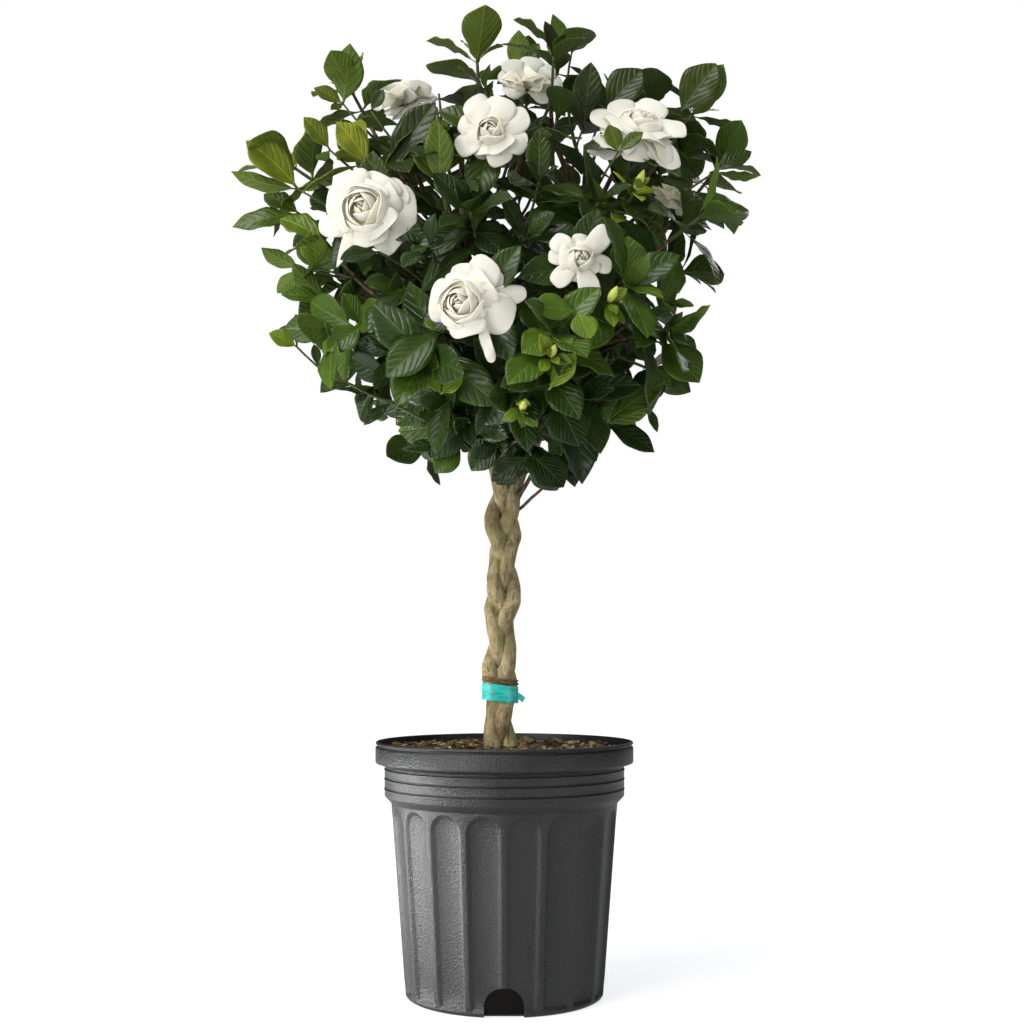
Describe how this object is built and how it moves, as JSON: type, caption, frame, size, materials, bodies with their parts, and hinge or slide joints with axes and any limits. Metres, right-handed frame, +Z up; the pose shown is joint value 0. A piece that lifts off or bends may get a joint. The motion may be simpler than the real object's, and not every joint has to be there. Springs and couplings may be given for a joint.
{
  "type": "potted gardenia",
  "caption": "Potted gardenia trained as a small tree: plaited woody trunk, round crown of glossy leaves with double white flowers, turquoise tie, black fluted nursery pot.",
  "frame": {"origin": "centre of the pot's flat underside", "axes": "+Z up along the trunk; the front that the picture shows faces -Y and its right side is +X"},
  "size_m": [0.4794, 0.4026, 0.8943],
  "materials": {
    "pot_plastic": "satin moulded black plastic",
    "soil": "dry potting mix with bark chips",
    "bark": "dull bark",
    "tape": "turquoise plastic tape",
    "leaf_dark": "glossy dark green leaf",
    "leaf_mid": "glossy green leaf",
    "leaf_bright": "glossy young leaf",
    "petal": "soft cream petal"
  },
  "bodies": {
    "root": {"pot": "pot_plastic", "soil": "soil", "stem_right": "bark", "stem_back": "bark", "stem_front": "bark", "tape_tie": "tape", "bloom_01": "petal", "bloom_02": "petal", "bloom_03": "petal", "bloom_04": "petal", "bloom_05": "petal", "bloom_06": "petal", "bloom_07": "petal", "bloom_08": "petal", "bloom_09": "petal", "bloom_10": "petal", "shoot_01": "leaf_dark", "shoot_02": "leaf_dark", "shoot_03": "leaf_dark", "shoot_04": "leaf_dark", "shoot_05": "leaf_dark", "shoot_06": "leaf_dark", "shoot_07": "leaf_dark", "shoot_08": "leaf_dark", "shoot_09": "leaf_dark", "shoot_10": "leaf_dark", "shoot_11": "leaf_mid", "shoot_12": "leaf_bright", "shoot_13": "leaf_bright", "shoot_14": "leaf_mid", "shoot_15": "leaf_bright", "shoot_16": "leaf_mid", "shoot_17": "leaf_bright", "shoot_18": "leaf_mid", "shoot_19": "leaf_mid", "shoot_20": "leaf_mid", "shoot_21": "leaf_mid", "shoot_22": "leaf_mid", "shoot_23": "leaf_bright", "shoot_24": "leaf_bright", "shoot_25": "leaf_mid", "shoot_26": "leaf_bright", "shoot_27": "leaf_dark", "shoot_28": "leaf_dark", "shoot_29": "leaf_dark", "shoot_30": "leaf_mid", "shoot_31": "leaf_dark", "shoot_32": "leaf_dark", "shoot_33": "leaf_dark", "shoot_34": "leaf_dark", "shoot_35": "leaf_dark", "shoot_36": "leaf_dark", "shoot_37": "leaf_dark", "shoot_38": "leaf_dark", "shoot_39": "leaf_dark", "shoot_40": "leaf_dark", "shoot_41": "leaf_dark"}
  },
  "joints": []
}
